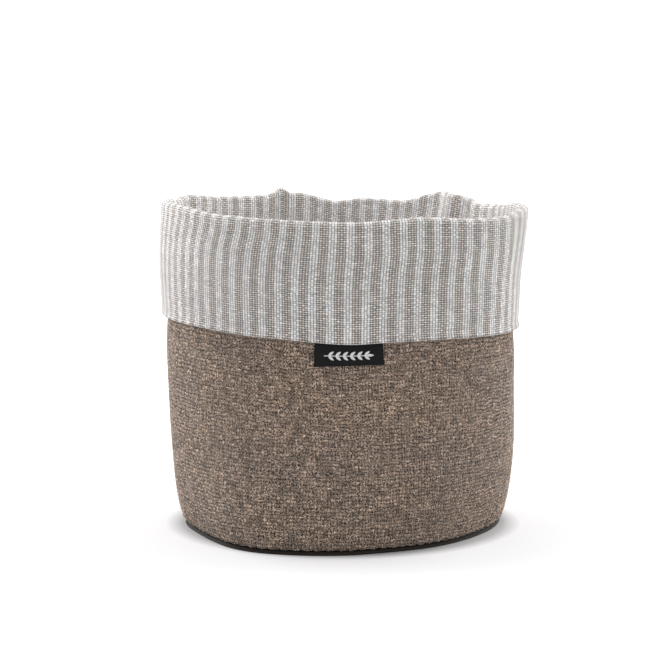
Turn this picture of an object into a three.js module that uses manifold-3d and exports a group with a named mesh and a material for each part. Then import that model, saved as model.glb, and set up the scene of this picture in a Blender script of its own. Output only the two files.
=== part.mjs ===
// Round fabric storage bin with its top turned down as a cuff, in millimetres, +Z up.
// The origin is the middle of the underside, and the woven label faces -Y.
//
// The bin is two bags, one in the other: a rustic linen outer and a striped linen lining. They meet in
// a seam at the hem. The top of both is folded outwards, so the lining shows as the cuff's face and the
// end of the outer lies hidden behind it. Interlining stiffens the wall, a board stiffens the base, and
// a tough dark panel closes the underside.
import * as THREE from 'three';
import { mergeVertices } from 'three/addons/utils/BufferGeometryUtils.js';
import Module from 'manifold-3d';

const wasm = await Module();
wasm.setup();

// ---- Driving dimensions ----
const binHeight = 194;          // underside to the top of the fold
const cuffDepth = 71;           // top of the fold down to the hem
const bodyRadius = 101.2;       // outside of the wall, before its flare and its tucked-in foot
const wallFlare = 0.0275;       // how much wider the wall gets for each millimetre of height
const footTuck = 8.2;           // how far the foot of the wall pulls in
const footTuckHeight = 14;      // height over which that pull dies away

// Thicknesses of the layers, and the gap left between two of them
const outerCloth = 1.2;
const liningCloth = 0.6;
const interliningCloth = 1.4;
const baseBoard = 1.6;
const basePanelThickness = 2.4;
const gap = 0.3;

// Cuff: spaces between its layers, measured outwards from the wall
const cuffClearance = 0.4;      // wall to the turned-down end of the outer
const seamRoom = 1.6;           // between the two cuff layers, for the hem seam and the label's tail

const interliningTop = 176;     // it stops short of the fold, so that the cuff turns easily
const footTurn = 3.2;           // radius in which the wall turns under, at the middle of the cloth
const seamAllowance = 6;        // cloth turned in under the base board
const basePanelInset = 1.6;     // how far the base panel's edge lies inside the turn of the wall
const threadRadius = 0.2;
const overlockRadius = 0.35;    // bundle of thread along a raw edge

// Label: a ribbon folded double, its two ends sewn into the hem
const labelWidth = 39;
const labelDrop = 11.5;          // what hangs below the hem
const labelThickness = 0.8;
const labelTail = 9;            // what is sewn into the hem
const tailThickness = 0.3;
const tailClearance = 0.2;      // tail to the turned-down end of the outer
const flapClearance = 0.8;      // hem to the top of the flap, so that it can lift

const sides = 48;               // facets round the bin
const foldSteps = 6;

// ---- Heights and radii that follow ----
const hem = binHeight - cuffDepth;
const outerSeamMiddle = basePanelThickness + gap + outerCloth / 2;
const boardBottom = basePanelThickness + 2 * gap + outerCloth;
const boardTop = boardBottom + baseBoard;
const floorBottom = boardTop + gap;
const floorTop = floorBottom + liningCloth;
const wallFoot = outerSeamMiddle + footTurn;
const wallStations = [wallFoot, 9, 13, 19, 28, 45, 80, hem];

// Middles of the layers, as offsets from the wall's outside
const outerMiddle = -outerCloth / 2;
const interliningMiddle = -outerCloth - gap - interliningCloth / 2;
const liningMiddle = -outerCloth - interliningCloth - 2 * gap - liningCloth / 2;
const liningMiddleAtFold = -outerCloth - gap - liningCloth / 2;
const turnedOuterMiddle = cuffClearance + outerCloth / 2;
const cuffFaceMiddle = cuffClearance + outerCloth + seamRoom + liningCloth / 2;
const seamRoomInside = cuffClearance + outerCloth;

const liningFold = (cuffFaceMiddle - liningMiddleAtFold) / 2;
const foldHeight = binHeight - liningFold - liningCloth / 2;

// Outside radius of the wall at height z
function wallRadius(z) {
  return bodyRadius + wallFlare * z - footTuck * Math.exp(-z / footTuckHeight);
}

// ---- Materials ----
function cloth(color, roughness) {
  return new THREE.MeshStandardMaterial({ color, roughness, metalness: 0 });
}
const rusticLinen = cloth(0x8c7c6c, 0.95);
const stripedLinen = cloth(0xcbc7c0, 0.9);
const fleece = cloth(0xe8e4da, 1);
const greyBoard = cloth(0x9a9184, 0.9);
const darkPanel = cloth(0x2c2523, 0.65);
const labelRibbon = cloth(0x17171a, 0.6);
const naturalThread = cloth(0xa89a86, 0.8);

// ---- Geometry helpers ----
// A closed outline turned about the Z axis. Its points are (radius, height), anticlockwise.
function turned(outline) {
  const points = outline.map(([r, z]) => new THREE.Vector2(r, z));
  return new THREE.LatheGeometry(points, sides).rotateX(Math.PI / 2);
}

// The outline of a layer of even thickness that follows a line of [radius, height] points.
function layerOutline(line, thickness) {
  const half = thickness / 2;
  const faces = [[], []];
  line.forEach(([r, z], i) => {
    const before = line[Math.max(i - 1, 0)];
    const after = line[Math.min(i + 1, line.length - 1)];
    const along = new THREE.Vector2(after[0] - before[0], after[1] - before[1]).normalize();
    faces[0].push([r + along.y * half, z - along.x * half]);
    faces[1].unshift([r - along.y * half, z + along.x * half]);
  });
  return [...faces[0], ...faces[1], faces[0][0]];
}

// Points of a layer that keeps one offset from the wall, up through the given heights
function alongWall(offset, heights) {
  return heights.map((z) => [wallRadius(z) + offset, z]);
}

// Points of an arc about [radius, height], from one angle to another
function arc(centre, radius, from, to, steps) {
  return Array.from({ length: steps + 1 }, (_, i) => {
    const angle = from + ((to - from) * i) / steps;
    return [centre[0] + radius * Math.cos(angle), centre[1] + radius * Math.sin(angle)];
  });
}

// The line of a layer that goes over the fold and down to the hem
function foldAndCuff(insideOffset, outsideOffset) {
  const radius = (outsideOffset - insideOffset) / 2;
  const centre = [wallRadius(foldHeight) + (outsideOffset + insideOffset) / 2, foldHeight];
  return [...arc(centre, radius, Math.PI, 0, foldSteps), ...alongWall(outsideOffset, [hem])];
}

// manifold-3d solids from geometries, and back
function solidFrom(geometry) {
  const bare = geometry.clone();
  bare.deleteAttribute('normal');
  bare.deleteAttribute('uv');
  const merged = mergeVertices(bare, 1e-4);
  const vertProperties = new Float32Array(merged.attributes.position.array);
  const triVerts = new Uint32Array(merged.index.array);
  return new wasm.Manifold(new wasm.Mesh({ numProp: 3, vertProperties, triVerts }));
}

function geometryFrom(solid) {
  const { vertProperties, triVerts } = solid.getMesh();
  const made = new THREE.BufferGeometry();
  made.setAttribute('position', new THREE.BufferAttribute(vertProperties, 3));
  made.setIndex(new THREE.BufferAttribute(triVerts, 1));
  made.computeVertexNormals();
  return made;
}

const bin = new THREE.Group();
function add(name, geometry, material) {
  const mesh = new THREE.Mesh(geometry, material);
  mesh.name = name;
  bin.add(mesh);
}

// ---- Outer bag ----
// Rustic linen: turned in under the board, up the wall, over the fold and down behind the cuff's face
function outerWall() {
  const footRadius = wallRadius(wallFoot) + outerMiddle;
  const footCentre = [footRadius - footTurn, wallFoot];
  const line = [
    [footCentre[0] - seamAllowance, outerSeamMiddle],
    ...arc(footCentre, footTurn, -Math.PI / 2, -Math.PI / 8, 3),
    ...alongWall(outerMiddle, wallStations),
    ...foldAndCuff(outerMiddle, turnedOuterMiddle),
  ];
  return turned(layerOutline(line, outerCloth));
}

// Dark panel with rounded edges, which the bin stands on
function basePanel() {
  const radius = wallRadius(wallFoot) - basePanelInset;
  const edge = basePanelThickness / 2;
  return turned([
    [0, 0],
    ...arc([radius - edge, edge], edge, -Math.PI / 2, Math.PI / 2, 4),
    [0, basePanelThickness],
  ]);
}

// ---- Stiffening ----
// Interlining between outer and lining, open at the back where their side seams lie
function wallInterlining() {
  const seamSlot = 6;
  const line = alongWall(interliningMiddle, [...wallStations, interliningTop]);
  const tube = solidFrom(turned(layerOutline(line, interliningCloth)));
  const slot = new THREE.BoxGeometry(seamSlot, 2 * footTuckHeight, 2 * binHeight);
  slot.translate(0, wallRadius(hem), 0);
  return geometryFrom(tube.subtract(solidFrom(slot)));
}

const boardRadius = wallRadius(boardBottom) + liningMiddle - liningCloth / 2 - 4 * gap - 2 * threadRadius;
function baseStiffener() {
  return turned([
    [0, boardBottom],
    [boardRadius, boardBottom],
    [boardRadius, boardTop],
    [0, boardTop],
  ]);
}

// ---- Lining ----
// Striped linen: up the inside, over the fold and down the outside as the cuff's face
function liningWall() {
  const line = [
    ...alongWall(liningMiddle, [boardBottom, ...wallStations, interliningTop]),
    ...foldAndCuff(liningMiddleAtFold, cuffFaceMiddle),
  ];
  return turned(layerOutline(line, liningCloth));
}

function liningBase() {
  const radius = wallRadius(floorBottom) + liningMiddle - liningCloth / 2 - gap;
  return turned([
    [0, floorBottom],
    [radius, floorBottom],
    [radius, floorTop],
    [0, floorTop],
  ]);
}

// ---- Seam threads ----
function threadRing(radius, height, thickness) {
  const section = arc([radius, height], thickness, 0, 2 * Math.PI, 6);
  return turned(section);
}

// A side seam's thread, up the back between outer and lining
function sideSeamThread(offset) {
  const up = [...wallStations, interliningTop].map((z) => new THREE.Vector3(0, wallRadius(z) + offset, z));
  const section = new THREE.Shape().absarc(0, 0, threadRadius, 0, 2 * Math.PI);
  return new THREE.ExtrudeGeometry(section, {
    extrudePath: new THREE.CatmullRomCurve3(up),
    steps: 32,
    curveSegments: 3,
  });
}

// ---- Label ----
// A piece of a ring round the bin, as wide as the label, at the front
function frontOfRing(inside, outside, bottom, top) {
  const ring = turned([
    [inside, bottom],
    [outside, bottom],
    [outside, top],
    [inside, top],
    [inside, bottom],
  ]);
  const window = new THREE.BoxGeometry(labelWidth, bodyRadius, 2 * binHeight);
  window.translate(0, -wallRadius(hem), 0);
  return geometryFrom(solidFrom(ring).intersect(solidFrom(window)));
}

function labelTailEnd() {
  const inside = wallRadius(hem + labelTail) + seamRoomInside + tailClearance;
  return frontOfRing(inside, inside + tailThickness, hem, hem + labelTail);
}

function labelFlap() {
  const middle = wallRadius(hem) + seamRoomInside + gap + labelThickness / 2;
  const top = hem - flapClearance;
  return frontOfRing(middle - labelThickness / 2, middle + labelThickness / 2, top - labelDrop, top);
}

add('outer_wall', outerWall(), rusticLinen);
add('base_panel', basePanel(), darkPanel);
add('wall_interlining', wallInterlining(), fleece);
add('base_stiffener', baseStiffener(), greyBoard);
add('lining_wall', liningWall(), stripedLinen);
add('lining_base', liningBase(), stripedLinen);

const overlockInset = gap + overlockRadius;
const allowanceEnd = wallRadius(wallFoot) + outerMiddle - footTurn - seamAllowance;
const hemThreadOffset = seamRoomInside + seamRoom - gap - threadRadius;
const floorThreadHeight = floorBottom - 2 * gap - threadRadius;
const floorThreadRadius = boardRadius + 2 * gap + threadRadius;
add('base_seam_thread', threadRing(allowanceEnd - overlockInset, outerSeamMiddle, overlockRadius), naturalThread);
add('lining_seam_thread', threadRing(floorThreadRadius, floorThreadHeight, threadRadius), naturalThread);
add('hem_thread', threadRing(wallRadius(hem) + hemThreadOffset, hem + 2, threadRadius), naturalThread);
add('outer_side_seam_thread', sideSeamThread(-outerCloth - gap - threadRadius), naturalThread);
add('lining_side_seam_thread', sideSeamThread(liningMiddle + liningCloth / 2 + gap + threadRadius), naturalThread);

add('label_tail', labelTailEnd(), labelRibbon);
add('label_flap', labelFlap(), labelRibbon);

export default bin;
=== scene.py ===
import math

import bpy
import numpy as np
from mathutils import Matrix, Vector


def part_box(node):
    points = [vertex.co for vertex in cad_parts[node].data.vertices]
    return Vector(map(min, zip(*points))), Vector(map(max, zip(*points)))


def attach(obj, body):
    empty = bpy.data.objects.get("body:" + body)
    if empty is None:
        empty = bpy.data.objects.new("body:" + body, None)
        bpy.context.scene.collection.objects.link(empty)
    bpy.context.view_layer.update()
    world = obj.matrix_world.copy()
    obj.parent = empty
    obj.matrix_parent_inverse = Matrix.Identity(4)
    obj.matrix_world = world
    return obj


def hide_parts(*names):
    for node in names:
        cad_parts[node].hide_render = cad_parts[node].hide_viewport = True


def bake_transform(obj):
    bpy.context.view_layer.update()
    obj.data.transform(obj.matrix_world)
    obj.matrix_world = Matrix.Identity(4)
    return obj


# A round storage bin of rustic linen, with its striped lining turned down as a cuff.
# Shapes are worked out in millimetres and become metres when their mesh is made.
# Angles go round the bin: 0 is the front (-Y), where the label is, and +90 is the right (+X).

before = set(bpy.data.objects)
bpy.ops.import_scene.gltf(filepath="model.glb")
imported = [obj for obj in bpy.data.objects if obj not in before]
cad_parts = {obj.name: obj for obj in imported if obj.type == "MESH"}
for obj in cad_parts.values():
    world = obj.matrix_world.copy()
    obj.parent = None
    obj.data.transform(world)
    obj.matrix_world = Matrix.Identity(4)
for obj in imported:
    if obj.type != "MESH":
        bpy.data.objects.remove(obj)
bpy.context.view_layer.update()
mm = 0.001

cameraSetup = {
    "azimuth": -2.84,     # degrees to the left of straight ahead
    "distance": 1415,     # level distance to the bin's axis
    "height": 295,
    "stepLeft": 7.85,
    "aimHeight": 118,     # height of the middle of the view at the axis
    "lens": 127.8,
}


def placeCamera():
    turn = math.radians(cameraSetup["azimuth"])
    away = Vector((math.sin(turn), -math.cos(turn), 0))
    left = Vector((-math.cos(turn), -math.sin(turn), 0)) * cameraSetup["stepLeft"]
    eye = left + away * cameraSetup["distance"] + Vector((0, 0, cameraSetup["height"]))
    aim = left + Vector((0, 0, cameraSetup["aimHeight"]))
    data = bpy.data.cameras.new("camera")
    data.lens = cameraSetup["lens"]
    camera = bpy.data.objects.new("camera", data)
    camera.location = eye * mm
    camera.rotation_mode = "QUATERNION"
    camera.rotation_quaternion = (aim - eye).to_track_quat("-Z", "Y")
    bpy.context.scene.collection.objects.link(camera)
    bpy.context.scene.camera = camera


placeCamera()
print("camera placed")

# Heights and widths that every piece shares, from the frame
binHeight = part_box("lining_wall")[1].z / mm
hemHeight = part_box("label_tail")[0].z / mm
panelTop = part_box("base_panel")[1].z / mm
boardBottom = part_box("base_stiffener")[0].z / mm
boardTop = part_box("base_stiffener")[1].z / mm
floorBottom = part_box("lining_base")[0].z / mm
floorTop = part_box("lining_base")[1].z / mm
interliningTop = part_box("wall_interlining")[1].z / mm
labelWidth = (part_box("label_flap")[1].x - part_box("label_flap")[0].x) / mm
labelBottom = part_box("label_flap")[0].z / mm
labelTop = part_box("label_tail")[1].z / mm

wall = {
    "radius": 101.2,        # outside of the wall, before its flare and its foot
    "flare": 0.0275,
    "footTuck": 8.2,
    "footTuckHeight": 14,
    "foot": 6.5,            # height at which the wall starts to turn under
    "footTurn": 3.2,
}

# Middle of each layer, outwards from the wall's outside
layer = {
    "outer": -0.6,
    "interlining": -2.2,
    "lining": -3.5,
    "liningAtFold": -1.8,
    "turnedOuter": 1.0,
    "cuffAtFold": 3.5,
    "cuffAtHem": 3.2,
}
foldRadius = (layer["cuffAtFold"] - layer["liningAtFold"]) / 2
foldHeight = binHeight - foldRadius - 0.3


def ease(low, high, x):
    t = np.clip((x - low) / (high - low), 0, 1)
    return t * t * (3 - 2 * t)


# A smooth closed curve through (degree, value) points, read at angles in radians
def around(points, angle):
    at = np.array([p[0] for p in points], float)
    value = np.array([p[1] for p in points], float)
    at = np.concatenate([at[-2:] - 360, at, at[:2] + 360])
    value = np.concatenate([value[-2:], value, value[:2]])
    slope = np.gradient(value, at)
    degree = (np.degrees(angle) - at[2]) % 360 + at[2]
    i = np.searchsorted(at, degree, side="right") - 1
    span = at[i + 1] - at[i]
    t = (degree - at[i]) / span
    start = (1 + 2 * t) * (1 - t) ** 2 * value[i] + t * (1 - t) ** 2 * span * slope[i]
    end = t * t * (3 - 2 * t) * value[i + 1] - t * t * (1 - t) * span * slope[i + 1]
    return start + end


# Gentle waves that close on themselves round the bin, mostly between -1 and 1
def softWaves(seed, angle, z, turns, rise):
    rng = np.random.default_rng(seed)
    total = 0
    for _ in range(14):
        n = rng.integers(1, turns + 1)
        m = rng.uniform(-1, 1) / rise
        total = total + np.cos(n * angle + 2 * math.pi * m * z + rng.uniform(0, 2 * math.pi))
    return total / 6


def wallRadius(z):
    tuck = wall["footTuck"] * np.exp(-z / wall["footTuckHeight"])
    return wall["radius"] + wall["flare"] * z - tuck


# How the bin stands away from a true round shape, in millimetres
form = {
    # the foot bulges at its front left and is flat at its front right
    "foot": [
        (-180, 1), (-150, 2), (-120, 0), (-90, 1.8), (-66, 0.8), (-53, 4), (-42, 8.5), (-34, 10),
        (-22, 8.6), (-12, 6.6), (-2, 4.4), (9, 0.8), (30, -1.4), (60, -2.7), (76, -0.4), (90, 2.2),
        (120, 2), (150, -2),
    ],
    "belly": [(-180, 0), (-90, 1.1), (0, 0), (90, 2)],
    "mouth": [
        (-180, 0), (-150, 1.5), (-120, 0), (-90, -1.2), (-50, 0), (-13, 0), (0, 0), (13, 0),
        (26, 0.6), (40, 3.4), (55, 4.6), (70, 3), (90, -0.8), (120, 0.5), (150, -2),
    ],
    # how much higher the hem and the rim are than they would be on an even bin
    "hem": [
        (-180, 2), (-150, 4), (-120, 6), (-90, 6.5), (-72, 6.4), (-55, 6), (-42, 4.8), (-32, 3.5),
        (-21, 2.7), (-11, 1.2), (0, 0), (12, 0.8), (35, 1), (53, 0.3), (75, -0.3), (120, 0),
        (150, 1),
    ],
    "rim": [
        (-180, -4.4), (-174, -1.8), (-169, 0.6), (-165, 1), (-162, 4), (-159, 1.2), (-153, -0.2),
        (-146, -0.2), (-136, 0.3), (-122, 2.6), (-112, 1), (-103, 2.6), (-88, 3), (-76, 3.8),
        (-60, 3), (-48, 1), (-35, 0), (-15, -1.3), (2, -1.9), (20, 0.2), (38, -1.6), (54, -1.8),
        (73, 2), (82, 1), (92, 1), (106, -1.8), (118, -3), (125, -3), (129, -0.6), (134, 1.6),
        (141, 2.9), (147, 0.2), (153, -3.2), (163, -3.2), (170, -2.8),
    ],
    # creases that run down from the rim: degree, half width in degrees, how far they stand out
    "creases": [(-161.5, 2.8, 4), (-119, 6, 4), (143, 5, 5), (135.5, 2.5, -3), (129, 2.5, 3),
                (21, 3, -0.7)],
    "lean": -2.5,           # the middle of the wall leans to the left by this
    "waves": 0.55,
    # between which heights each of them comes in or dies away
    "footFades": (8, 98),
    "bellyGrows": (15, 60),
    "bellyFades": (100, hemHeight + 6),
    "mouthGrows": (75, hemHeight + 6),
    "wavesGrow": (4, 30),
    "creasesGrow": (binHeight - 55, binHeight - 4),
    "rimGrows": (hemHeight + 15, binHeight - 4),
    "leanGrows": (25, 115),
    "leanFades": (150, binHeight),
    "leanAtRim": 0.05,      # share of the lean that is left at the rim
}


def creases(angle):
    total = 0
    for degree, width, depth in form["creases"]:
        apart = (np.degrees(angle) - degree + 180) % 360 - 180
        total = total + depth * np.exp(-((apart / width) ** 2))
    return total


def spread(angle, z):
    foot = around(form["foot"], angle) * (1 - ease(*form["footFades"], z))
    mouth = around(form["mouth"], angle) * ease(*form["mouthGrows"], z)
    belly = around(form["belly"], angle) * ease(*form["bellyGrows"], z) * (1 - ease(*form["bellyFades"], z))
    waves = form["waves"] * softWaves(3, angle, z, 9, 90) * ease(*form["wavesGrow"], z)
    return foot + belly + mouth + waves + creases(angle) * ease(*form["creasesGrow"], z)


def lift(angle, z):
    hem = around(form["hem"], angle)
    rim = around(form["rim"], angle)
    below = hem * np.clip(z / hemHeight, 0, 1)
    return below + (rim - hem) * ease(*form["rimGrows"], z)


def lean(z):
    left = 1 - (1 - form["leanAtRim"]) * ease(*form["leanFades"], z)
    return form["lean"] * ease(*form["leanGrows"], z) * left


# A point of the bin, from its angle, how far out from the wall's outside it lies, and its height
def place(angle, offset, z):
    radius = wallRadius(np.clip(z, wall["foot"], foldHeight)) + offset + spread(angle, z)
    x = radius * np.sin(angle) + lean(z)
    y = -radius * np.cos(angle)
    return np.stack(np.broadcast_arrays(x, y, z + lift(angle, z)), axis=-1)


def makePiece(name, points, faces, material, corners=None):
    mesh = bpy.data.meshes.new(name)
    mesh.from_pydata((np.asarray(points) * mm).tolist(), [], faces)
    for layerName, values in (corners or {}).items():
        uv = mesh.uv_layers.new(name=layerName)
        uv.data.foreach_set("uv", np.asarray(values, np.float32).ravel())
    mesh.shade_smooth()
    mesh.materials.append(material)
    piece = bpy.data.objects.new(name, mesh)
    bpy.context.scene.collection.objects.link(piece)
    return piece


# Faces between two rings. Where one ring is finer, several of its columns meet one of the other.
def ringFaces(low, lowCount, high, highCount):
    faces = []
    shares = []
    count = min(lowCount, highCount)
    lowStep = lowCount // count
    highStep = highCount // count
    for k in range(count):
        under = [k * lowStep + j for j in range(lowStep + 1)]
        over = [k * highStep + j for j in range(highStep, -1, -1)]
        faces.append([low + j % lowCount for j in under] + [high + j % highCount for j in over])
        shares.append(([j / lowCount for j in under], [j / highCount for j in over]))
    return faces, shares


# A closed shell through rings that go right round the bin. Each ring is (points, weft number).
# The weave map numbers its yarns, and the OFBake map lays it out flat without overlaps.
def roundShell(name, rings, warps, material):
    starts = np.cumsum([0] + [len(points) for points, _ in rings])
    marks = np.array([points.mean(axis=0) + points[0] for points, _ in rings])
    steps = np.linalg.norm(np.diff(marks, axis=0, append=marks[:1]), axis=1)
    path = np.concatenate([[0], np.cumsum(steps)]) / steps.sum()
    faces = []
    weave = []
    bake = []
    for i in range(len(rings)):
        j = (i + 1) % len(rings)
        made, shares = ringFaces(starts[i], len(rings[i][0]), starts[j], len(rings[j][0]))
        faces += made
        for under, over in shares:
            weave += [(u * warps, rings[i][1]) for u in under]
            weave += [(u * warps, rings[j][1]) for u in over]
            bake += [(u, path[i]) for u in under] + [(u, path[i + 1]) for u in over]
    points = np.concatenate([points for points, _ in rings])
    return makePiece(name, points, faces, material, {"weave": weave, "OFBake": bake})


# Rings of a layer to the right (+) or left (-) of its line of (offset, height) points. Relief is how
# far they stand out from it, and shift how far they move round the bin (an angle) and along the line.
def layerRings(line, wefts, side, columns, relief=0.0, shift=(0.0, 0.0)):
    angle = np.linspace(-math.pi, math.pi, columns, endpoint=False)[None, :] + shift[0]
    points = beside(line, side)
    facing = directions(line)
    offset = points[:, :1] + relief * facing[:, 1:2] + shift[1] * facing[:, :1]
    z = points[:, 1:2] - relief * facing[:, :1] + shift[1] * facing[:, 1:2] + 0 * angle
    grid = place(angle, offset, z)
    return [(grid[i], wefts[i]) for i in range(len(line))]


def directions(line):
    along = np.gradient(line, axis=0)
    return along / np.linalg.norm(along, axis=1)[:, None]


def beside(line, distance):
    along = directions(line)
    return line + distance * np.column_stack([along[:, 1], -along[:, 0]])


def arc(centre, radius, start, end, steps):
    angle = np.radians(np.linspace(start, end, steps + 1))
    return np.column_stack([centre[0] + radius * np.cos(angle), centre[1] + radius * np.sin(angle)])


def pathLength(line):
    return np.concatenate([[0], np.cumsum(np.linalg.norm(np.diff(line, axis=0), axis=1))])


# The same line with its points a given step apart
def evenly(line, step):
    length = pathLength(line)
    at = np.arange(0, length[-1], step)
    return np.column_stack([np.interp(at, length, line[:, k]) for k in (0, 1)])


def straight(start, end, step):
    steps = max(1, round(math.dist(start, end) / step))
    return np.linspace(start, end, steps + 1)


def newMaterial(name):
    material = bpy.data.materials.new(name)
    material.use_nodes = True
    material.node_tree.nodes.clear()
    return material, material.node_tree


def addNode(tree, kind, inputs=None, **settings):
    node = tree.nodes.new(kind)
    for key, value in settings.items():
        setattr(node, key, value)
    for socket, value in (inputs or {}).items():
        if isinstance(value, bpy.types.NodeSocket):
            tree.links.new(value, node.inputs[socket])
        else:
            node.inputs[socket].default_value = value
    return node


def calc(tree, operation, *values):
    return addNode(tree, "ShaderNodeMath", dict(enumerate(values)), operation=operation).outputs[0]


def noise(tree, vector, scale, detail=2.0, roughness=0.5):
    inputs = {"Vector": vector, "Scale": scale, "Detail": detail, "Roughness": roughness}
    return addNode(tree, "ShaderNodeTexNoise", inputs).outputs[0]


def vectorOf(tree, x, y, z=0.0):
    return addNode(tree, "ShaderNodeCombineXYZ", {0: x, 1: y, 2: z}).outputs[0]


def mixed(tree, factor, a, b):
    node = addNode(tree, "ShaderNodeMix", {0: factor, 6: a, 7: b}, data_type="RGBA")
    return node.outputs[2]


def scaled(tree, colour, factor):
    node = addNode(tree, "ShaderNodeVectorMath", {0: colour, 3: factor}, operation="SCALE")
    return node.outputs[0]


def ranged(tree, value, low, high, newLow, newHigh):
    inputs = {0: value, 1: low, 2: high, 3: newLow, 4: newHigh}
    return addNode(tree, "ShaderNodeMapRange", inputs).outputs[0]


def finishMaterial(tree, colour, height, bumpDepth, settings):
    bump = addNode(tree, "ShaderNodeBump", {"Height": height, "Distance": bumpDepth * mm})
    inputs = {"Base Color": colour, "Normal": bump.outputs[0], **settings}
    surface = addNode(tree, "ShaderNodeBsdfPrincipled", inputs)
    output = addNode(tree, "ShaderNodeOutputMaterial")
    tree.links.new(surface.outputs[0], output.inputs[0])


# A plain weave, yarn by yarn. The "weave" map counts warp yarns along U and weft yarns along V.
def wovenCloth(name, look):
    material, tree = newMaterial(name)
    uv = addNode(tree, "ShaderNodeUVMap", uv_map="weave").outputs[0]
    drift = addNode(tree, "ShaderNodeTexNoise", {"Vector": uv, "Scale": look["wanderScale"]}).outputs[1]
    drift = addNode(tree, "ShaderNodeVectorMath", {0: drift, 1: (0.5, 0.5, 0.5)}, operation="SUBTRACT")
    wander = scaled(tree, drift.outputs[0], look["wander"])
    spot = addNode(tree, "ShaderNodeVectorMath", {0: uv, 1: wander}, operation="ADD").outputs[0]
    parts = addNode(tree, "ShaderNodeSeparateXYZ", {0: spot})
    u = parts.outputs[0]
    v = parts.outputs[1]
    warp = calc(tree, "FLOOR", u)
    weft = calc(tree, "FLOOR", v)
    acrossWarp = calc(tree, "SUBTRACT", calc(tree, "SUBTRACT", u, warp), 0.5)
    acrossWeft = calc(tree, "SUBTRACT", calc(tree, "SUBTRACT", v, weft), 0.5)
    under = calc(tree, "PINGPONG", calc(tree, "ADD", warp, weft), 1.0)
    side = calc(tree, "MULTIPLY_ADD", under, -2.0, 1.0)     # 1 where the warp is on top, -1 below

    # Each yarn swells and thins along its own length, and reads the noise far from its neighbours
    alongWarp = vectorOf(tree, calc(tree, "MULTIPLY", warp, 7.3), calc(tree, "MULTIPLY", v, look["slub"]))
    alongWeft = vectorOf(tree, calc(tree, "MULTIPLY", u, look["slub"]), calc(tree, "MULTIPLY", weft, 5.9))
    warpSwell = noise(tree, alongWarp, 1.0, 3.0)
    weftSwell = noise(tree, alongWeft, 1.0, 3.0)
    warpHalf = calc(tree, "MULTIPLY_ADD", warpSwell, look["swell"], look["warpHalf"] - look["swell"] / 2)
    pale = 0.0
    if "stripe" in look:
        inStripe = calc(tree, "DIVIDE", calc(tree, "ADD", warp, look["stripeShift"] + 0.5), look["stripe"])
        pale = calc(tree, "LESS_THAN", calc(tree, "FRACT", inStripe), 0.5)
        warpHalf = calc(tree, "MULTIPLY_ADD", pale, look["paleSwell"], warpHalf)
    weftHalf = calc(tree, "MULTIPLY_ADD", weftSwell, look["swell"], look["weftHalf"] - look["swell"] / 2)

    def yarnHeight(across, half, along, sign):
        share = calc(tree, "DIVIDE", across, half)
        flat = calc(tree, "SUBTRACT", 1.0, calc(tree, "MULTIPLY", share, share))
        arch = calc(tree, "SQRT", calc(tree, "MAXIMUM", flat, 0.0))
        ride = calc(tree, "MULTIPLY", calc(tree, "COSINE", calc(tree, "MULTIPLY", along, math.pi)), sign)
        off = calc(tree, "GREATER_THAN", calc(tree, "ABSOLUTE", across), half)
        height = calc(tree, "MULTIPLY_ADD", ride, look["ride"], arch)
        return calc(tree, "MULTIPLY_ADD", off, -1.3, height)     # beside the yarn is a deep gap

    otherSide = calc(tree, "MULTIPLY", side, -1.0)
    warpHeight = yarnHeight(acrossWarp, warpHalf, acrossWeft, side)
    weftHeight = yarnHeight(acrossWeft, weftHalf, acrossWarp, otherSide)
    warpHeight = calc(tree, "ADD", warpHeight, look["warpPride"])
    top = calc(tree, "MAXIMUM", warpHeight, weftHeight)
    warpShows = calc(tree, "GREATER_THAN", warpHeight, weftHeight)

    # Fibres run along whichever yarn is on top
    acrossFibres = vectorOf(tree, calc(tree, "MULTIPLY", u, 1.3), calc(tree, "MULTIPLY", v, 9.0))
    upFibres = vectorOf(tree, calc(tree, "MULTIPLY", u, 9.0), calc(tree, "MULTIPLY", v, 1.3))
    fibres = {0: warpShows, 2: noise(tree, acrossFibres, 1.0), 3: noise(tree, upFibres, 1.0)}
    fibre = addNode(tree, "ShaderNodeMix", fibres).outputs[0]

    warpColour = look["warp"]
    if "stripe" in look:
        warpColour = mixed(tree, pale, look["warp"], look["paleWarp"])
    tone = calc(tree, "MULTIPLY_ADD", calc(tree, "ADD", warpSwell, weftSwell), look["tone"], 1 - look["tone"])
    tone = calc(tree, "MULTIPLY", tone, ranged(tree, fibre, 0.25, 0.75, 1 - look["fibre"], 1 + look["fibre"]))
    # Painted shade: the colour darkens the lower the cloth lies, towards each yarn's edges and most in the
    # gaps between yarns, down to gapShade
    gapShade = look["gapShade"]
    if "paleBackTo" in look:
        past = look["paleBackTo"]
        gapShade = ranged(tree, v, past - 2, past + 2, look["paleGapShade"], look["gapShade"])
    tone = calc(tree, "MULTIPLY", tone, ranged(tree, top, look["deep"], 1.2, gapShade, 1.0))
    cell = addNode(tree, "ShaderNodeTexWhiteNoise", {"Vector": vectorOf(tree, warp, weft)}).outputs[0]
    tone = calc(tree, "MULTIPLY", tone, ranged(tree, cell, 0.0, 1.0, 1 - look["cell"], 1 + look["cell"]))
    fleck = noise(tree, uv, look["fleckScale"], 2.0, 0.6)
    low = 0.5 - look["fleckRange"]
    high = 0.5 + look["fleckRange"]
    tone = calc(tree, "MULTIPLY", tone, ranged(tree, fleck, low, high, 1 - look["fleck"], 1 + look["fleck"]))
    colour = mixed(tree, warpShows, look["weft"], warpColour)
    patches = noise(tree, uv, look["patchScale"], 2.0)
    colour = mixed(tree, ranged(tree, patches, 0.35, 0.65, 0.0, look["patch"]), colour, look["patchColour"])
    colour = scaled(tree, colour, tone)
    height = calc(tree, "MULTIPLY_ADD", fibre, 0.35, top)
    settings = {"Roughness": 0.93, "Sheen Weight": look["sheen"], "Sheen Roughness": 0.5}
    finishMaterial(tree, colour, height, look["bump"], settings)
    return material


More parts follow.
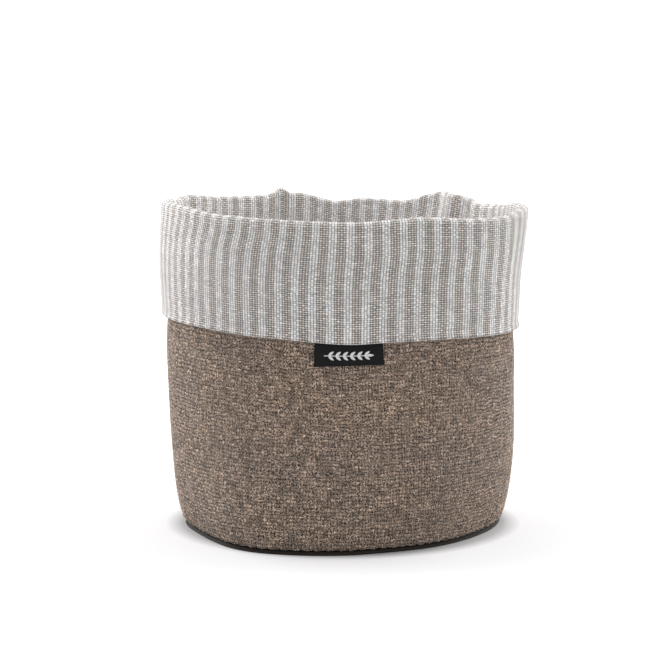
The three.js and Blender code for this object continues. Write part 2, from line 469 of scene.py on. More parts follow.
liningCloth = {
    "thickness": 0.6,
    "stripes": 70,
    "warpsInStripe": 6,
    "weftPitch": 1.28,
    "hemCurl": 0.45,        # radius in which the hem turns in
    "hemTurnIn": 8,
    "hemRoll": [0.15, 0.5, 0.7],    # how far the hem's last three rows stand out
    "puff": 0.5,            # the cuff stands a little away here and there
    "seamDip": 0.5,         # the side seam at the back pulls the cloth in
    "seamWidth": 1.3,
    "coarseShare": 4,       # the hidden face has a column for every fourth warp
    # how far the stripes are turned round the bin, and turned again at the fold, in degrees
    "drift": [
        (-180, 0), (-90, 0), (0, 0), (16, 0.7), (26, 1.4), (38, 2.2), (50, 3.3), (60, 3.5), (90, 3),
        (150, 1),
    ],
    "driftAtFold": [
        (-180, 0), (-95, 0), (-70, 1.6), (-50, 1.9), (-30, 1.2), (-10, 0), (90, 0), (150, 0),
    ],
}
liningWarps = liningCloth["stripes"] * liningCloth["warpsInStripe"]

# Looks of the two cloths. Half widths, swell and wander are in yarns. Slub is how quickly a yarn swells
# along its length, ride how far it goes in and out, and warpPride how much the warp stands over the
# weft. Tone, fibre, cell and fleck say how uneven the shade is, from none at 0.
# Deep and gapShade set the painted shade between the yarns: the height where it is darkest, and how dark it
# is there.
rusticLook = {
    "warp": (0.36, 0.265, 0.20, 1),
    "weft": (0.41, 0.305, 0.23, 1),
    "patchColour": (0.31, 0.24, 0.20, 1),
    "patch": 0.6,
    "patchScale": 0.06,
    "wander": 0.9,
    "wanderScale": 0.35,
    "warpHalf": 0.38,
    "weftHalf": 0.37,
    "swell": 0.5,
    "slub": 0.4,
    "ride": 0.45,
    "warpPride": 0.0,
    "tone": 0.5,
    "fibre": 0.45,
    "cell": 0.38,
    "fleck": 1.0,
    "fleckScale": 2.9,
    "fleckRange": 0.105,
    "deep": -0.5,
    "gapShade": 0.06,
    "bump": 0.6,
    "sheen": 0.15,
}
stripedLook = {
    "warp": (0.70, 0.615, 0.54, 1),
    "paleWarp": (0.97, 0.96, 0.97, 1),
    "weft": (0.95, 0.91, 0.88, 1),
    "stripe": 6.0,
    "stripeShift": 2.0,
    "paleSwell": 0.18,
    "patchColour": (0.70, 0.65, 0.63, 1),
    "patch": 0.35,
    "patchScale": 0.05,
    "wander": 0.35,
    "wanderScale": 0.25,
    "warpHalf": 0.26,
    "weftHalf": 0.27,
    "swell": 0.16,
    "slub": 0.25,
    "ride": 0.3,
    "warpPride": 0.1,
    "tone": 0.4,
    "fibre": 0.2,
    "cell": 0.16,
    "fleck": 0.16,
    "fleckScale": 1.6,
    "fleckRange": 0.2,
    "deep": 0.05,
    "gapShade": 0.02,
    # inside, the gaps show the white interlining behind, and the painted shade in them is lighter
    "paleGapShade": 0.15,
    "paleBackTo": (foldHeight + 3 * foldRadius - boardBottom) / liningCloth["weftPitch"],
    "bump": 0.3,
    "sheen": 0.15,
}
rusticLinen = wovenCloth("rusticLinen", rusticLook)
stripedLinen = wovenCloth("stripedLinen", stripedLook)


# A place on the piece, in millimetres
def objectPoint(tree):
    point = addNode(tree, "ShaderNodeTexCoord").outputs["Object"]
    inputs = {0: point, 1: (1 / mm, 1 / mm, 1 / mm)}
    return addNode(tree, "ShaderNodeVectorMath", inputs, operation="MULTIPLY").outputs[0]


# Fleecy felt of short matted fibres
def fleeceFelt():
    material, tree = newMaterial("fleeceFelt")
    point = objectPoint(tree)
    matted = noise(tree, point, 1.4, 6.0, 0.7)
    clumps = noise(tree, point, 0.25, 2.0)
    colour = mixed(tree, matted, (0.62, 0.6, 0.55, 1), (0.86, 0.84, 0.79, 1))
    height = calc(tree, "MULTIPLY_ADD", clumps, 0.8, matted)
    settings = {"Roughness": 1.0, "Sheen Weight": 0.4}
    finishMaterial(tree, colour, height, 0.3, settings)
    return material


def greyBoard():
    material, tree = newMaterial("greyBoard")
    point = objectPoint(tree)
    pulp = noise(tree, point, 0.9, 5.0, 0.65)
    specks = calc(tree, "GREATER_THAN", noise(tree, point, 1.7, 1.0), 0.68)
    colour = mixed(tree, pulp, (0.26, 0.24, 0.21, 1), (0.40, 0.37, 0.33, 1))
    colour = mixed(tree, calc(tree, "MULTIPLY", specks, 0.6), colour, (0.12, 0.11, 0.10, 1))
    finishMaterial(tree, colour, pulp, 0.06, {"Roughness": 0.85})
    return material


# Dark leather-like panel: pebbled grain, and a browner line round the middle of its edge
def darkPanel():
    material, tree = newMaterial("darkPanel")
    point = objectPoint(tree)
    grain = addNode(tree, "ShaderNodeTexVoronoi", {"Vector": point, "Scale": 0.9}, feature="DISTANCE_TO_EDGE")
    pebbles = ranged(tree, grain.outputs[0], 0.0, 0.22, 0.0, 1.0)
    worn = noise(tree, point, 0.12, 3.0)
    height = addNode(tree, "ShaderNodeSeparateXYZ", {0: point}).outputs[2]
    fromMiddle = calc(tree, "ABSOLUTE", calc(tree, "SUBTRACT", height, panelTop / 2))
    middle = ranged(tree, fromMiddle, 0.15, 0.45, 0.75, 0.0)
    colour = mixed(tree, worn, (0.012, 0.010, 0.009, 1), (0.028, 0.021, 0.018, 1))
    colour = mixed(tree, middle, colour, (0.06, 0.042, 0.032, 1))
    colour = scaled(tree, colour, ranged(tree, pebbles, 0.0, 1.0, 0.6, 1.0))
    finishMaterial(tree, colour, pebbles, 0.12, {"Roughness": 0.75, "Specular IOR Level": 0.3})
    return material


def sewingThread(name, dark, light, roughness):
    material, tree = newMaterial(name)
    point = objectPoint(tree)
    plies = noise(tree, point, 2.6, 3.0)
    colour = mixed(tree, plies, dark, light)
    finishMaterial(tree, colour, plies, 0.05, {"Roughness": roughness, "Sheen Weight": 0.2})
    return material


# Black satin ribbon with fine ribs across it and finer threads along it
def labelSatin():
    material, tree = newMaterial("labelSatin")
    uv = addNode(tree, "ShaderNodeUVMap", uv_map="weave").outputs[0]
    parts = addNode(tree, "ShaderNodeSeparateXYZ", {0: uv})
    ribs = calc(tree, "SINE", calc(tree, "MULTIPLY", parts.outputs[1], 2 * math.pi))
    threads = calc(tree, "SINE", calc(tree, "MULTIPLY", parts.outputs[0], 2 * math.pi))
    weave = calc(tree, "MULTIPLY_ADD", threads, 0.35, ribs)
    fuzz = noise(tree, uv, 0.8, 3.0)
    colour = mixed(tree, fuzz, (0.004, 0.004, 0.005, 1), (0.012, 0.012, 0.013, 1))
    colour = mixed(tree, ranged(tree, weave, 0.4, 1.35, 0.0, 0.5), colour, (0.016, 0.016, 0.018, 1))
    finishMaterial(tree, colour, weave, 0.05, {"Roughness": 0.6, "Specular IOR Level": 0.2})
    return material


fleece = fleeceFelt()
board = greyBoard()
panel = darkPanel()
naturalThread = sewingThread("naturalThread", (0.30, 0.25, 0.19, 1), (0.52, 0.46, 0.38, 1), 0.8)
looseFlax = sewingThread("looseFlax", (0.32, 0.25, 0.19, 1), (0.60, 0.52, 0.43, 1), 0.75)
motifThread = sewingThread("motifThread", (0.72, 0.72, 0.73, 1), (0.92, 0.92, 0.93, 1), 0.5)
satin = labelSatin()
print("materials made")

# The outer bag: it turns under the base board below, and down inside the cuff above
outerCloth = {
    "thickness": 1.2,
    "warps": 354,           # yarns round the bin
    "weftPitch": 2.2,
    "allowance": 6,         # turned in under the base board
    "relief": 0.34,         # how far the yarns stand in and out of the cloth
    "stray": 0.3,           # how unevenly they lie, in yarns
    "showsUpTo": hemHeight + 9,
    "seamDip": 0.7,         # the side seam at the back pulls the cloth in
    "seamWidth": 1.1,
    "puckers": 96,          # small gathers round the foot
    "puckerDepth": 0.3,
    "rowShare": 5,          # the hidden face has every fifth row and every sixth column
    "columnShare": 6,
}


# How far each yarn crossing stands out. Odd rows and columns run along the middles of yarns.
def yarnRelief(rows, columns, depth):
    rng = np.random.default_rng(11)
    row = np.arange(rows)[:, None]
    column = np.arange(columns)[None, :]
    warpSize = rng.uniform(0.55, 1.3, columns // 2)[column // 2]
    weftSize = rng.uniform(0.55, 1.3, rows // 2 + 1)[row // 2]
    slubs = 1 + 0.45 * softWaves(12, column * 2 * math.pi / columns, row * 1.0, 60, 30)
    onWarp = column % 2
    onWeft = row % 2
    crossing = onWarp * onWeft * (0.5 * warpSize + 0.5 * weftSize)
    between = (1 - onWarp) * (1 - onWeft)
    return depth * (crossing * slubs - between + 0.15 * (onWarp + onWeft == 1))


# Uneven spacing: how far each yarn has strayed, sideways as an angle and up in millimetres
def yarnDrift(rows, columns, stray):
    rng = np.random.default_rng(17)
    column = np.arange(columns)[None, :]
    row = np.arange(rows)[:, None]
    warpPitch = 4 * math.pi / columns
    ownWarp = rng.uniform(-0.16, 0.16, columns // 2)
    ownWeft = rng.uniform(-0.16, 0.16, rows // 2 + 2)
    betweenWarps = (ownWarp[column // 2] + ownWarp[column // 2 - 1]) / 2
    betweenWefts = (ownWeft[row // 2] + ownWeft[row // 2 - 1]) / 2
    sideways = np.where(column % 2, ownWarp[column // 2], betweenWarps)
    up = np.where(row % 2, ownWeft[row // 2], betweenWefts)
    turn = column * 2 * math.pi / columns
    sideways = sideways + stray * softWaves(41, turn, row * 1.0, 90, 12)
    up = up + stray * softWaves(43, turn, row * 1.0, 60, 16)
    return sideways * warpPitch, up * outerCloth["weftPitch"]


def makeOuter():
    cloth = outerCloth
    offset = layer["outer"]
    turnCentre = (offset - wall["footTurn"], wall["foot"])
    turn = arc(turnCentre, wall["footTurn"], -90, 0, 12)
    under = (turnCentre[0] - cloth["allowance"], turn[0][1])
    up = [[offset, cloth["showsUpTo"]]]
    shown = evenly(np.concatenate([[under], turn, up]), cloth["weftPitch"] / 2)
    foldMiddle = (offset + layer["turnedOuter"]) / 2
    hidden = np.concatenate([
        straight(shown[-1], (offset, foldHeight), 6)[1:],
        arc((foldMiddle, foldHeight), layer["turnedOuter"] - foldMiddle, 180, 0, 6)[1:],
        straight((layer["turnedOuter"], foldHeight), (layer["turnedOuter"], hemHeight + 1), 6)[1:],
    ])
    line = np.concatenate([shown, hidden])
    wefts = pathLength(line) / cloth["weftPitch"]
    half = cloth["thickness"] / 2
    fine = 2 * cloth["warps"]
    coarse = fine // cloth["columnShare"]
    angle = np.linspace(-math.pi, math.pi, fine, endpoint=False)[None, :]
    relief = yarnRelief(len(shown), fine, cloth["relief"])
    fromSeam = (math.pi - np.abs(angle)) * wall["radius"]
    relief = relief - cloth["seamDip"] * np.exp(-(fromSeam / cloth["seamWidth"]) ** 2)
    pucker = cloth["puckerDepth"] * np.cos(angle * cloth["puckers"])
    relief = relief + pucker * (1 - ease(6, 16, shown[:, 1:2]))
    drift = yarnDrift(len(shown), fine, cloth["stray"])
    right = layerRings(shown, wefts, half, fine, relief, drift)
    right += layerRings(line, wefts, half, coarse)[len(shown):]
    keep = list(range(0, len(shown), cloth["rowShare"])) + list(range(len(shown), len(line)))
    left = layerRings(line, wefts, -half, coarse)
    left = [left[i] for i in keep]
    return roundShell("outer_cloth", right + left[::-1], cloth["warps"], rusticLinen)


outer = makeOuter()
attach(outer, "bin")
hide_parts("outer_wall")
print("outer cloth made")


# The lining turns over the rim and comes down as the cuff
def makeLining():
    cloth = liningCloth
    rise = straight((layer["lining"], boardBottom), (layer["lining"], interliningTop), 3.2)
    foldMiddle = (layer["liningAtFold"] + layer["cuffAtFold"]) / 2
    overFold = arc((foldMiddle, foldHeight), foldRadius, 180, 0, 12)
    curlHeight = hemHeight + cloth["hemCurl"] + cloth["thickness"] / 2
    down = straight((layer["cuffAtFold"], foldHeight), (layer["cuffAtHem"], curlHeight), cloth["weftPitch"])
    down[-3:, 0] += cloth["hemRoll"]
    curlMiddle = (down[-1][0] - cloth["hemCurl"], curlHeight)
    curl = arc(curlMiddle, cloth["hemCurl"], 0, -180, 8)
    legTop = (layer["cuffAtHem"] - 2 * cloth["hemCurl"], curlHeight + cloth["hemTurnIn"])
    leg = straight(curl[-1], legTop, 2)
    toFold = straight(rise[-1], overFold[0], 1.6)
    line = np.concatenate([rise, toFold[1:], overFold[1:], down[1:], curl[1:], leg[1:]])
    wefts = pathLength(line) / cloth["weftPitch"]
    angle = np.linspace(-math.pi, math.pi, liningWarps, endpoint=False)[None, :]
    fromSeam = (math.pi - np.abs(angle)) * wall["radius"]
    dip = cloth["seamDip"] * np.exp(-(fromSeam / cloth["seamWidth"]) ** 2)
    half = cloth["thickness"] / 2
    onCuff = np.zeros(len(line))
    cuffStart = len(rise) + len(toFold) + len(overFold) - 2
    cuffEnd = cuffStart + len(down)
    onCuff[cuffStart:cuffEnd] = 1
    height = line[:, 1:2]
    puff = cloth["puff"] * (0.5 + 0.5 * softWaves(21, angle, height, 24, 60))
    middle = ease(hemHeight, hemHeight + 12, line[:, 1])
    middle = middle * (1 - ease(foldHeight - 10, foldHeight, line[:, 1]))
    relief = -np.clip(puff, 0, 1) * (onCuff * middle)[:, None] + dip
    angle = angle + 0 * height
    shift = around(cloth["drift"], angle) * (math.pi / 180)
    atFold = ease(foldHeight - 20, foldHeight, height)
    shift = shift + around(cloth["driftAtFold"], angle) * atFold * (math.pi / 180)
    shown = layerRings(line, wefts, -half, liningWarps, relief, (shift, 0.0))

    # The hidden face has fewer rows, except at the fold and at the hem
    share = cloth["coarseShare"]
    hiddenRelief = 0.7 * relief[:, ::share]
    hidden = layerRings(line, wefts, half, liningWarps // share, hiddenRelief, (shift[:, ::share], 0.0))
    nearFold = range(cuffStart - 11, cuffStart + 12)
    keep = [i for i in range(len(line)) if i % 3 == 0 or i in nearFold or i > cuffEnd - 3]
    hidden = [hidden[i] for i in keep]
    return roundShell("lining_cloth", hidden + shown[::-1], liningWarps, stripedLinen)


lining = makeLining()
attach(lining, "bin")
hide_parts("lining_wall")
print("lining made")


# Rings of a flat round layer of the base, which follows the foot's shape. Its edge is a profile of
# (inset from the wall, height) points, and both faces fill in towards the middle.
def discRings(profile, columns, fill, steps):
    angle = np.linspace(-math.pi, math.pi, columns, endpoint=False)
    rings = []
    for inset, z in profile:
        radius = wallRadius(wall["foot"]) + inset + spread(angle, wall["foot"])
        rings.append(np.column_stack([radius * np.sin(angle), -radius * np.cos(angle), 0 * angle + z]))
    shares = np.linspace(fill, 1, steps)[:-1]
    under = [rings[0] * [share, share, 1] for share in shares]
    over = [rings[-1] * [share, share, 1] for share in shares[::-1]]
    return under + rings + over


# Takes the floor's yarn numbers below zero, so that the painted shade in its gaps is as light as on the rest
# of the inside
insideWefts = 200


def makeDisc(name, rings, material, pitches=None):
    count = len(rings[0])
    starts = [i * count for i in range(len(rings))]
    faces = [list(range(count))[::-1]]
    for i in range(len(rings) - 1):
        faces += ringFaces(starts[i], count, starts[i + 1], count)[0]
    faces.append(list(range(starts[-1], starts[-1] + count)))
    points = np.concatenate(rings)
    corners = None
    if pitches:
        flat = points[np.concatenate(faces)][:, :2] / np.array(pitches)
        corners = {"weave": flat - insideWefts}
    return makePiece(name, points, faces, material, corners)


basePanel = {"inset": -1.6, "edge": 1.2}       # edge is the depth of each of its two rolled edges


def makeBasePanel():
    edge = basePanel["edge"]
    inset = basePanel["inset"]
    bottomRoll = arc((inset - edge / 2, edge / 2), edge / 2, -90, 60, 6)
    topRoll = arc((inset - edge / 2, panelTop - edge / 2), edge / 2, -60, 90, 6)
    profile = [tuple(p) for p in np.concatenate([bottomRoll, topRoll])]
    rings = discRings(profile, 240, 0.03, 24)
    return makeDisc("base_panel_sheet", rings, panel)


baseSheet = makeBasePanel()
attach(baseSheet, "bin")
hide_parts("base_panel")


boardEdge = {"gap": 2.1, "bevel": 0.2}      # gap from the middle of the lining


def makeBoard():
    inset = layer["lining"] - boardEdge["gap"]
    bevel = boardEdge["bevel"]
    low = [(inset - bevel, boardBottom), (inset, boardBottom + bevel)]
    high = [(inset, boardTop - bevel), (inset - bevel, boardTop)]
    return makeDisc("base_board", discRings(low + high, 144, 0.03, 10), board)


baseBoard = makeBoard()
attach(baseBoard, "bin")
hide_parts("base_stiffener")


# The floor of the lining lies in soft shallow waves, lowest in the middle
def makeLiningFloor():
    inset = layer["lining"] - 0.7
    profile = [(inset - 0.1, floorBottom), (inset, (floorBottom + floorTop) / 2), (inset - 0.1, floorTop)]
    rings = discRings(profile, 216, 0.02, 40)
    points = np.array(rings)
    angle = np.arctan2(points[..., 0], -points[..., 1])
    radius = np.hypot(points[..., 0], points[..., 1])
    rim = 1 - ease(70, 92, radius)
    points[..., 2] += 0.45 * (1 + softWaves(31, angle, radius, 5, 60)) * rim * ease(2, 20, radius)
    pitches = (2 * math.pi * (wall["radius"] + 3) / liningWarps, liningCloth["weftPitch"])
    return makeDisc("lining_floor", list(points), stripedLinen, pitches)


liningFloor = makeLiningFloor()
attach(liningFloor, "bin")
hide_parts("lining_base")
print("base made")


# A closed strip that goes part of the way round: both faces of its line, and its two side edges
def makeStrip(name, line, thickness, angle, warps, pitch, material, hang=None):
    half = thickness / 2
    right = beside(line, half)
    left = beside(line, -half)
    loop = np.concatenate([right, left[::-1]])
    z = loop[:, 1:2] + 0 * angle[None, :]
    out, drop = hang(angle[None, :], z) if hang else (0, 0)
    grid = place(angle[None, :], loop[:, :1] + out, z - drop)
    rows = len(loop)
    columns = len(angle)
    number = np.arange(rows * columns).reshape(rows, columns)
    length = pathLength(line) / pitch
    wefts = np.concatenate([length, length[::-1]])
    share = np.linspace(0, warps, columns)
    faces = []
    weave = []
    for i in range(rows):
        j = (i + 1) % rows
        for k in range(columns - 1):
            faces.append([number[i, k], number[i, k + 1], number[j, k + 1], number[j, k]])
            weave += [(share[k], wefts[i]), (share[k + 1], wefts[i])]
            weave += [(share[k + 1], wefts[j]), (share[k], wefts[j])]
    for i in range(len(line) - 1):
        j = rows - 1 - i
        for k, flip in ((0, 1), (columns - 1, -1)):
            ring = [(i, k), (i + 1, k), (j - 1, k), (j, k)][::flip]
            faces.append([number[a, b] for a, b in ring])
            weave += [(share[b], wefts[a]) for a, b in ring]
    return makePiece(name, grid.reshape(-1, 3), faces, material, {"weave": weave})


interliningSheet = {"thickness": 1.4, "backGap": 6}


def makeInterlining():
    gap = interliningSheet["backGap"] / 2 / wall["radius"]
    angle = np.linspace(-math.pi + gap, math.pi - gap, 181)
    line = straight((layer["interlining"], wall["foot"]), (layer["interlining"], interliningTop), 4)
    return makeStrip("interlining", line, interliningSheet["thickness"], angle, 360, 2, fleece)


interlining = makeInterlining()
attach(interlining, "bin")
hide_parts("wall_interlining")

# The label is a ribbon folded double, its ends sewn into the hem
ribbonLook = {
    "ply": 0.2,
    "tailBack": 1.78,       # places of the two plies, outwards from the wall
    "tailFront": 2.05,
    "flapBack": 1.85,
    "flapFront": 2.45,
    "ribPitch": 0.45,
    "threadPitch": 0.4,
    "standOff": 1.2,        # how far the lower edge stands off the wall
    "flatten": 1.5,         # how much more its corners do, so that it's flat across
    "askew": 1.3,           # how much lower the left corner hangs
    "straighten": 0.9,      # how far the middle of the lower edge is drawn up
}


def labelReach():
    return labelWidth / 2 / (wallRadius(hemHeight) + ribbonLook["flapFront"])


# Below the hem the ribbon lies flat across, stands off the wall and sits a little askew
def labelHang(angle, z):
    down = np.clip((hemHeight - z) / (hemHeight - labelBottom), 0, 1)
    side = angle / labelReach()
    out = down * (ribbonLook["standOff"] + ribbonLook["flatten"] * side ** 2)
    drop = down * (ribbonLook["askew"] * (0.5 - side / 2) - ribbonLook["straighten"] * (1 - side ** 2))
    return out, drop


def makeRibbon():
    ribbon = ribbonLook
    loop = (ribbon["flapFront"] - ribbon["flapBack"]) / 2
    middle = (ribbon["flapFront"] + ribbon["flapBack"]) / 2
    turnHeight = labelBottom + loop + ribbon["ply"] / 2
    line = np.concatenate([
        straight((ribbon["tailBack"], labelTop), (ribbon["tailBack"], hemHeight + 1), 1),
        straight((ribbon["flapBack"], hemHeight - 1), (ribbon["flapBack"], turnHeight), 0.5),
        arc((middle, turnHeight), loop, 180, 360, 10)[1:],
        straight((ribbon["flapFront"], turnHeight), (ribbon["flapFront"], hemHeight - 1), 0.5)[1:],
        straight((ribbon["tailFront"], hemHeight + 1), (ribbon["tailFront"], labelTop), 1),
    ])
    reach = labelReach()
    angle = np.linspace(-reach, reach, 49)
    threadsAcross = labelWidth / ribbon["threadPitch"]
    pitch = ribbon["ribPitch"]
    return makeStrip("label_ribbon", line, ribbon["ply"], angle, threadsAcross, pitch, satin, labelHang)


ribbon = makeRibbon()
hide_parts("label_tail", "label_flap")
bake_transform(ribbon)


# A thread round a line of points, closed into a ring or with two ends. Flat squeezes it along
# the reference direction, and firstPoint is the number of its first point in the mesh.
def tubeMesh(points, radius, sides, closed, reference, flat, firstPoint):
    along = np.gradient(points, axis=0)
    if closed:
        along = np.roll(points, -1, axis=0) - np.roll(points, 1, axis=0)
    along = along / np.linalg.norm(along, axis=1)[:, None]
    first = np.cross(along, reference)
    first = first / np.linalg.norm(first, axis=1)[:, None]
    second = np.cross(along, first) * flat
    turn = np.arange(sides) * 2 * math.pi / sides
    radius = np.broadcast_to(radius, len(points))[:, None, None]
    ring = first[:, None, :] * np.cos(turn)[None, :, None]
    ring = ring + second[:, None, :] * np.sin(turn)[None, :, None]
    grid = points[:, None, :] + radius * ring
    count = len(points)
    number = firstPoint + np.arange(count * sides).reshape(count, sides)
    faces = []
    for i in range(count if closed else count - 1):
        j = (i + 1) % count
        for k in range(sides):
            n = (k + 1) % sides
            faces.append([number[i, k], number[i, n], number[j, n], number[j, k]])
    if not closed:
        faces.append(number[0, ::-1].tolist())
        faces.append(number[-1].tolist())
    return grid.reshape(-1, 3), faces


def tubes(name, runs, material):
    points = []
    faces = []
    total = 0
    for line, radius, sides, closed, reference, flat in runs:
        made, rings = tubeMesh(line, radius, sides, closed, reference, flat, total)
        points.append(made)
        faces += rings
        total += len(made)
    return makePiece(name, np.concatenate(points), faces, material)


# Each seam thread is two plies twisted together, and goes in and out with its stitches
threads = {
    "twist": 3.2,           # length of one turn of the plies
    "stitch": 4.2,
    "stitchDepth": 0.12,
    "stepsInTwist": 6,
    "sides": 5,
    "overlockRadius": 0.35,
    "seamRadius": 0.2,
}


def sewIn(piece, replaced):
    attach(piece, "bin")
    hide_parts(replaced)


def twistedRing(name, offset, z, radius, replaced):
    length = 2 * math.pi * (wallRadius(max(z, wall["foot"])) + offset)
    twists = round(length / threads["twist"])
    stitches = round(length / threads["stitch"])
    angle = np.linspace(-math.pi, math.pi, twists * threads["stepsInTwist"], endpoint=False)
    wave = threads["stitchDepth"] * np.cos(angle * stitches)
    runs = []
    for ply in (0, math.pi):
        turn = angle * twists + ply
        line = place(angle, offset + wave + 0.5 * radius * np.cos(turn), z + 0.5 * radius * np.sin(turn))
        runs.append((line, radius * 0.5, threads["sides"], True, (0, 0, 1), 1))
    sewIn(tubes(name, runs, naturalThread), replaced)


def twistedRise(name, offset, replaced):
    low = wall["foot"]
    count = round((interliningTop - low) / threads["twist"]) * threads["stepsInTwist"]
    z = np.linspace(low, interliningTop, count)
    turn = (z - low) / threads["twist"] * 2 * math.pi
    radius = threads["seamRadius"]
    runs = []
    for ply in (0, math.pi):
        angle = math.pi + 0.5 * radius * np.cos(turn + ply) / wall["radius"]
        line = place(angle, offset + 0.5 * radius * np.sin(turn + ply), z)
        runs.append((line, radius * 0.5, threads["sides"], False, (0, 1, 0), 1))
    sewIn(tubes(name, runs, naturalThread), replaced)


# How far out a round thread of the frame reaches, and its height
def nodeOffset(node):
    low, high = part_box(node)
    z = (low.z + high.z) / 2 / mm
    return high.x / mm - wallRadius(max(z, wall["foot"])), z


overlockRadius = threads["overlockRadius"]
seamRadius = threads["seamRadius"]
overlock = nodeOffset("base_seam_thread")
twistedRing("base_overlock", overlock[0] - overlockRadius, overlock[1], overlockRadius, "base_seam_thread")
floorSeam = nodeOffset("lining_seam_thread")
twistedRing("lining_floor_seam", floorSeam[0] - seamRadius, floorSeam[1], seamRadius, "lining_seam_thread")
# the hem is sewn above the label's ends
hemSeamHeight = nodeOffset("hem_thread")[1] + labelTop - hemHeight
twistedRing("hem_seam", layer["turnedOuter"] + 0.9, hemSeamHeight, seamRadius, "hem_thread")
twistedRise("outer_side_seam", layer["outer"] - 1.1, "outer_side_seam_thread")
twistedRise("lining_side_seam", layer["lining"] + 0.8, "lining_side_seam_thread")
print("seams sewn")

# The woven sprig on the label
sprig = {
    "length": 28,
    "pairs": 6,
    "firstRoot": 2.6,       # from the stem's foot to its first leaves
    "leafLength": 3.7,
    "leafWidth": 0.72,
    "leafBend": 0.12,
    "tilt": 40,             # degrees from the stem
    "stroke": 0.26,
}


def onLabel(x, z):
    front = ribbonLook["flapFront"] + ribbonLook["ply"] / 2 + 0.02
    angle = x / (wallRadius(hemHeight) + front)
    out, drop = labelHang(angle, z)
    return place(angle, front + out, z - drop)


# A straight stem with leaves in pairs and one at its tip
def makeSprig():
    middle = (labelBottom + hemHeight - 1) / 2 + 0.1
    half = sprig["length"] / 2
    outwards = (0.0, -1.0, 0.0)
    tipRoot = half - sprig["leafLength"]
    stem = np.linspace(-half, tipRoot, 60)
    runs = [(onLabel(stem, middle + 0 * stem), sprig["stroke"], 6, False, outwards, 0.6)]
    roots = np.linspace(sprig["firstRoot"] - half, tipRoot - 1.4, sprig["pairs"])
    leaves = [(root, side * sprig["tilt"]) for root in roots for side in (-1, 1)] + [(tipRoot, 0)]
    t = np.linspace(0, 1, 15)
    for root, degree in leaves:
        tilt = math.radians(degree)
        along = sprig["leafLength"] * t
        bend = sprig["leafBend"] * np.sin(t * math.pi) * np.sign(degree)
        leafX = root + along * math.cos(tilt) - bend * math.sin(tilt)
        leafZ = middle + along * math.sin(tilt) + bend * math.cos(tilt)
        width = 0.08 + sprig["leafWidth"] * np.sin(math.pi * t ** 0.8) ** 0.8
        runs.append((onLabel(leafX, leafZ), width, 8, False, outwards, 0.45))
    return tubes("label_sprig", runs, motifThread)


motif = makeSprig()
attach(motif, "label")

# Loose fibres of the rustic linen
fuzz = {
    "count": 420,
    "shortest": 1.2,
    "longest": 4.5,
    "radius": 0.05,
    "clearAngle": 0.25,     # none lies over the label
    "clearBelowHem": 20,
}


def makeFuzz():
    rng = np.random.default_rng(5)
    runs = []
    for _ in range(fuzz["count"]):
        angle = rng.uniform(-math.pi, math.pi)
        z = rng.uniform(5, hemHeight - 2)
        if abs(angle) < fuzz["clearAngle"] and z > hemHeight - fuzz["clearBelowHem"]:
            continue
        length = rng.uniform(fuzz["shortest"], fuzz["longest"]) * rng.uniform(0.5, 1)
        heading = rng.uniform(0, 2 * math.pi)
        rise = rng.uniform(0.15, 0.7)
        t = np.linspace(0, 1, 6)
        out = length * rise * np.sin(t * math.pi * rng.uniform(0.5, 1.0)) - 0.15
        sweep = length * t * math.cos(heading) / wall["radius"]
        climb = length * t * math.sin(heading) + rng.uniform(-0.5, 0.5) * t * t
        line = place(angle + sweep, out + 0.1, z + climb)
        radius = fuzz["radius"] * (1.1 - 0.6 * t)
        runs.append((line, radius, 3, False, (0.2, 0.3, 0.93), 1))
    return tubes("loose_fibres", runs, looseFlax)


fibres = makeFuzz()
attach(fibres, "bin")
print("label and loose fibres made")

studio = {
    "aimHeight": 0.1,       # metres
    "surroundings": 0.457,
    "leftBox": 20.5,        # lamps, in watts
    "rightBox": 18.0,
    "topBox": 7.0,
    "frontFill": 6.4,
    "glowNear": 0.475,      # the sweep's own brightness under the bin and far from it
    "glowFar": 1.0,
    "floorWhite": 0.5,
    "glowFrom": 0.14,       # where it starts to brighten and where it is brightest, in metres
    "glowTo": 0.6,
    "contactFrom": 0.098,   # a painted contact shadow: a dark ring on the sweep's glow where the base meets it
    "contactTo": 0.109,
    "contactShade": 0.15,
    "floorReach": 12,
}


def softBox(name, spot, size):
    data = bpy.data.lights.new(name, "AREA")
    data.shape = "RECTANGLE"
    data.size = size[0]
    data.size_y = size[1]
    data.energy = studio[name]
    lamp = bpy.data.objects.new(name, data)
    lamp.location = spot
    lamp.rotation_mode = "QUATERNION"
    lamp.rotation_quaternion = (Vector((0, 0, studio["aimHeight"])) - lamp.location).to_track_quat("-Z", "Y")
    lamp.visible_camera = False
    bpy.context.scene.collection.objects.link(lamp)


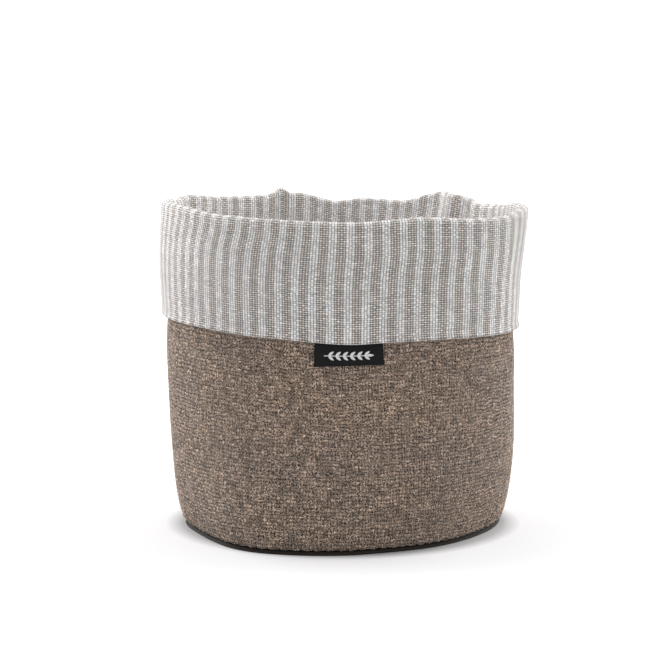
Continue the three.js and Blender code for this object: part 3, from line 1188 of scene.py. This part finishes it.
def makeStudio():
    softBox("leftBox", (-1.0, 0.65, 0.45), (1.0, 1.2))
    softBox("rightBox", (1.0, 0.65, 0.45), (1.0, 1.2))
    softBox("topBox", (0, 0.15, 1.1), (1.1, 1.1))
    softBox("frontFill", (0.1, -1.7, 0.4), (1.4, 0.6))

    world = bpy.data.worlds.new("studio")
    bpy.context.scene.world = world
    world.use_nodes = True
    tree = world.node_tree
    tree.nodes.clear()
    seen = addNode(tree, "ShaderNodeLightPath").outputs["Is Camera Ray"]
    strength = ranged(tree, seen, 0.0, 1.0, studio["surroundings"], 1.05)
    background = addNode(tree, "ShaderNodeBackground", {0: (1, 1, 1, 1), 1: strength})
    output = addNode(tree, "ShaderNodeOutputWorld")
    tree.links.new(background.outputs[0], output.inputs[0])


# A white sweep that is bright to the eye but lights the bin only by what falls on it
def makeFloor():
    mesh = bpy.data.meshes.new("floor")
    reach = studio["floorReach"]
    corners = [(-reach, -reach, 0), (reach, -reach, 0), (reach, reach, 0), (-reach, reach, 0)]
    mesh.from_pydata(corners, [], [(0, 1, 2, 3)])
    material, tree = newMaterial("whiteSweep")
    seen = addNode(tree, "ShaderNodeLightPath").outputs["Is Camera Ray"]
    point = addNode(tree, "ShaderNodeNewGeometry").outputs["Position"]
    away = addNode(tree, "ShaderNodeVectorMath", {0: point}, operation="LENGTH").outputs[1]
    glow = ranged(tree, away, studio["glowFrom"], studio["glowTo"], studio["glowNear"], studio["glowFar"])
    # Painted contact shadow: the glow the camera sees dims to contactShade in a thin ring round the foot
    paintedContactShadow = ranged(tree, away, studio["contactFrom"], studio["contactTo"], studio["contactShade"], 1.0)
    glow = calc(tree, "MULTIPLY", glow, paintedContactShadow)
    glow = calc(tree, "MULTIPLY", seen, glow)
    emission = addNode(tree, "ShaderNodeEmission", {0: (0.985, 0.97, 1.0, 1), 1: glow})
    shade = studio["floorWhite"]
    paper = addNode(tree, "ShaderNodeBsdfDiffuse", {0: (shade, shade, shade, 1)})
    both = addNode(tree, "ShaderNodeAddShader", {0: emission.outputs[0], 1: paper.outputs[0]})
    output = addNode(tree, "ShaderNodeOutputMaterial")
    tree.links.new(both.outputs[0], output.inputs[0])
    mesh.materials.append(material)
    floor = bpy.data.objects.new("floor", mesh)
    bpy.context.scene.collection.objects.link(floor)


makeStudio()
makeFloor()
bpy.context.scene.view_settings.view_transform = "Standard"
print("studio lit")
